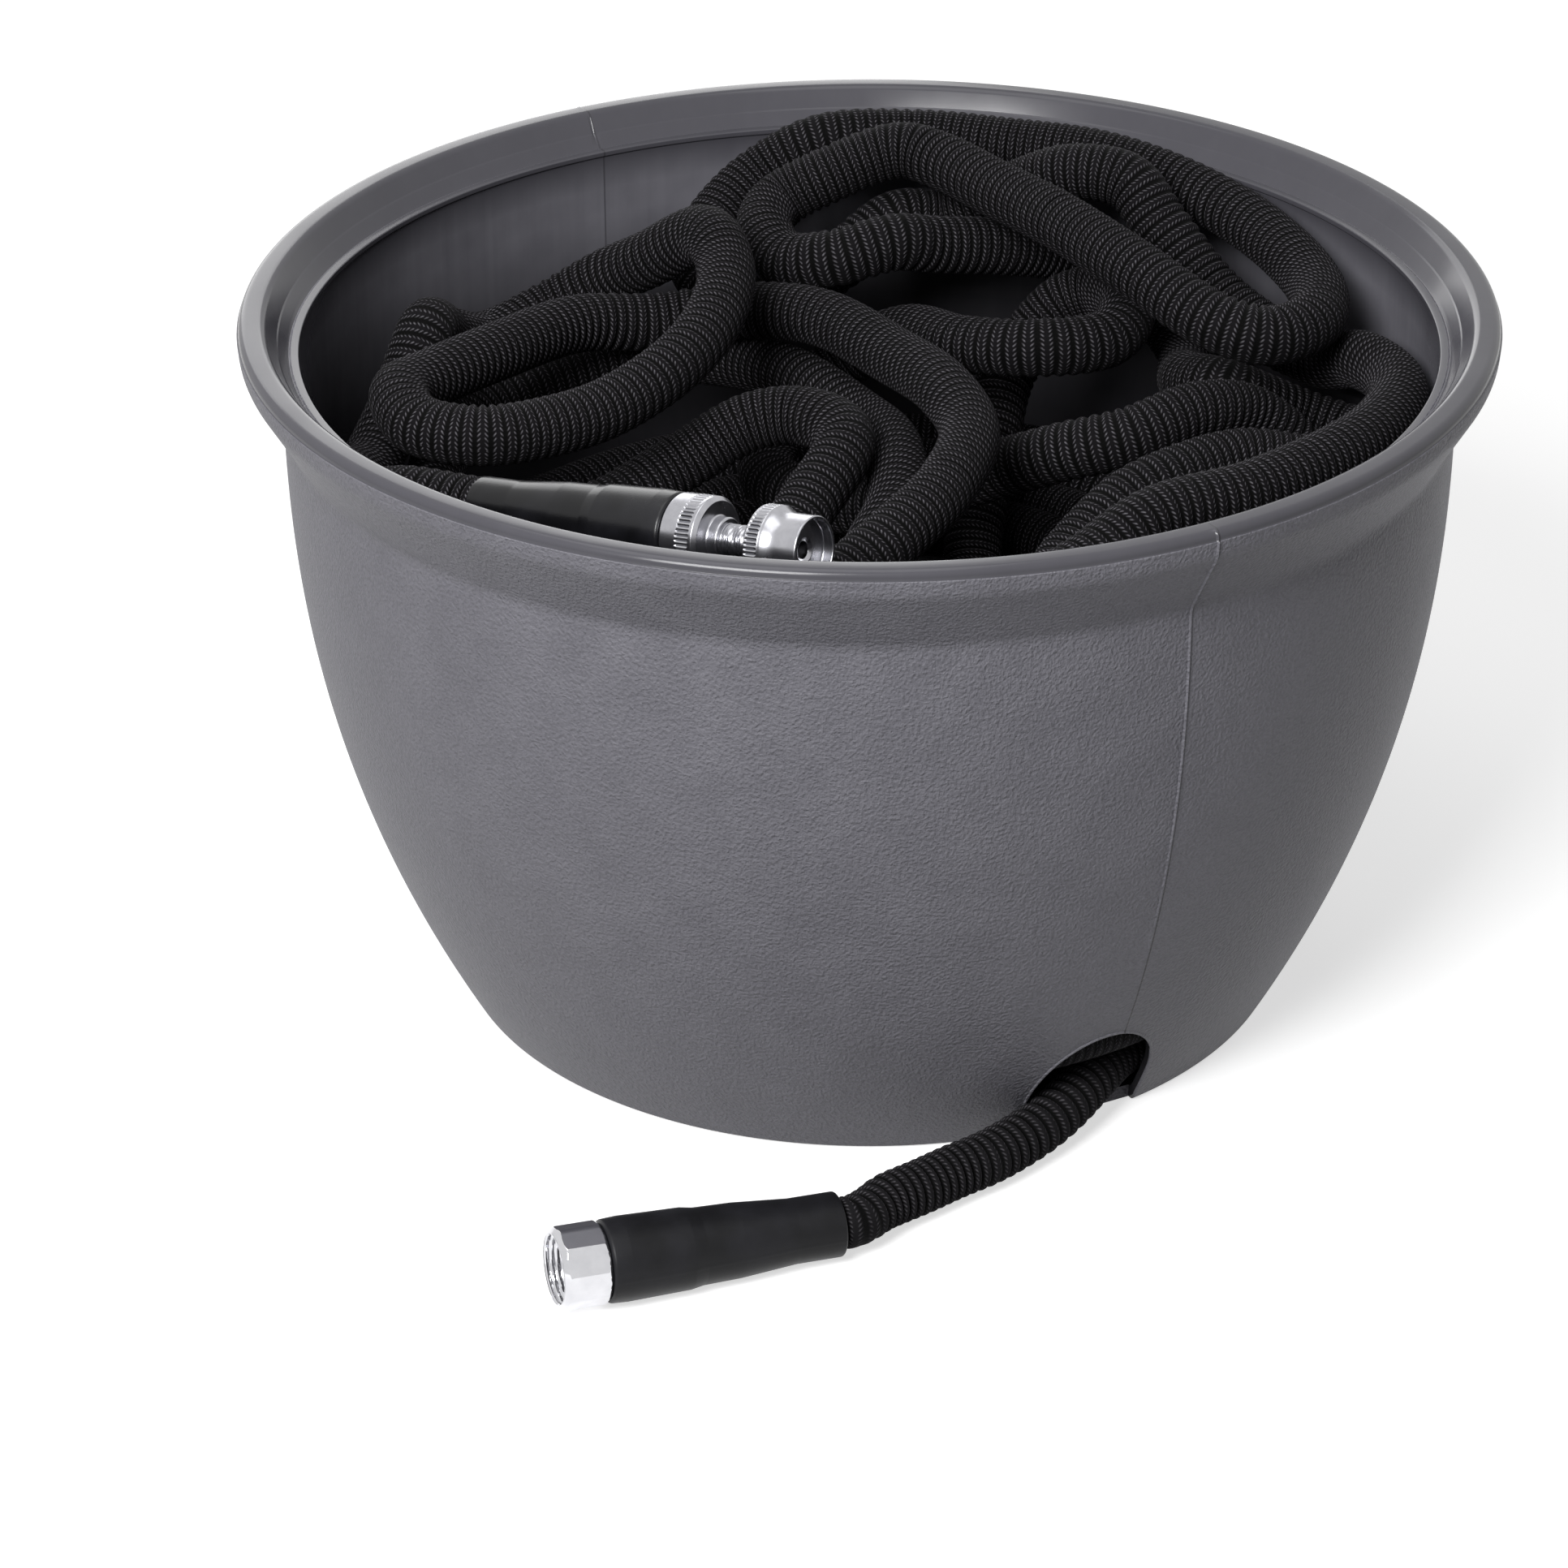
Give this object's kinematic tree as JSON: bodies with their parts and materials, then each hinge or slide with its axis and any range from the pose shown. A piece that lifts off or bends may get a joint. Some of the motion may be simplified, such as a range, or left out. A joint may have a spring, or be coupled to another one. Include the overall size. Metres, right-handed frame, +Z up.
{
  "type": "garden hose pot",
  "caption": "Round flared pot with a rolled lip and a low outlet, holding a wound and loosely laid fabric hose with a swivel coupling on its tail and a twist nozzle on its other end.",
  "frame": {"origin": "centre of the pot's base, on the ground", "axes": "+Z up along the pot's axis; the outlet faces -Y, turned 27 degrees towards +X; the tail lies towards -X and -Y"},
  "size_m": [0.5073, 0.5568, 0.2982],
  "materials": {
    "pot_shell": "slate grey moulded plastic with a fine orange-peel grain",
    "hose_fabric": "black woven polyester sleeve, gathered in small folds",
    "cuff_rubber": "satin black moulded rubber",
    "nut_chrome": "polished plated metal",
    "fitting_alloy": "turned alloy",
    "nozzle_alloy": "turned and plated alloy with knurled bands",
    "seal_rubber": "matt black rubber"
  },
  "bodies": {
    "pot": {"pot": "pot_shell", "hose_coil": "hose_fabric", "coil_core": "hose_fabric", "hose_lower": "hose_fabric", "hose_middle": "hose_fabric", "hose_upper": "hose_fabric", "hose_left": "hose_fabric", "hose_tail": "hose_fabric", "tail_cuff": "cuff_rubber", "tail_ferrule": "fitting_alloy", "tail_stem": "fitting_alloy", "nozzle_cuff": "cuff_rubber", "nozzle_ferrule": "fitting_alloy", "nozzle_stem": "fitting_alloy", "nozzle_washer": "seal_rubber", "nozzle_base": "nozzle_alloy"},
    "coupling": {"coupling_nut": "nut_chrome", "coupling_washer": "seal_rubber"},
    "nozzle_carriage": {"nozzle_seal": "seal_rubber"},
    "nozzle_head": {"nozzle_barrel": "nozzle_alloy"}
  },
  "joints": [
    {"name": "coupling_swivel", "type": "hinge", "parent": "pot", "child": "coupling", "pos_m": [-0.1195, -0.289, 0.0177], "axis": [-0.939, -0.3418, 0.0384], "continuous": true},
    {"name": "nozzle_slide", "type": "slide", "parent": "pot", "child": "nozzle_carriage", "axis": [0.8305, -0.5393, 0.1392], "range_m": [-0.008, 0.002]},
    {"name": "nozzle_twist", "type": "hinge", "parent": "nozzle_carriage", "child": "nozzle_head", "pos_m": [-0.071, -0.163, 0.266], "axis": [0.8305, -0.5393, 0.1392], "range_deg": [-1440, 360]}
  ],
  "couplings": [
    {"joint": "nozzle_slide", "follows": "nozzle_twist", "m_per_rad": 0.0003183}
  ]
}
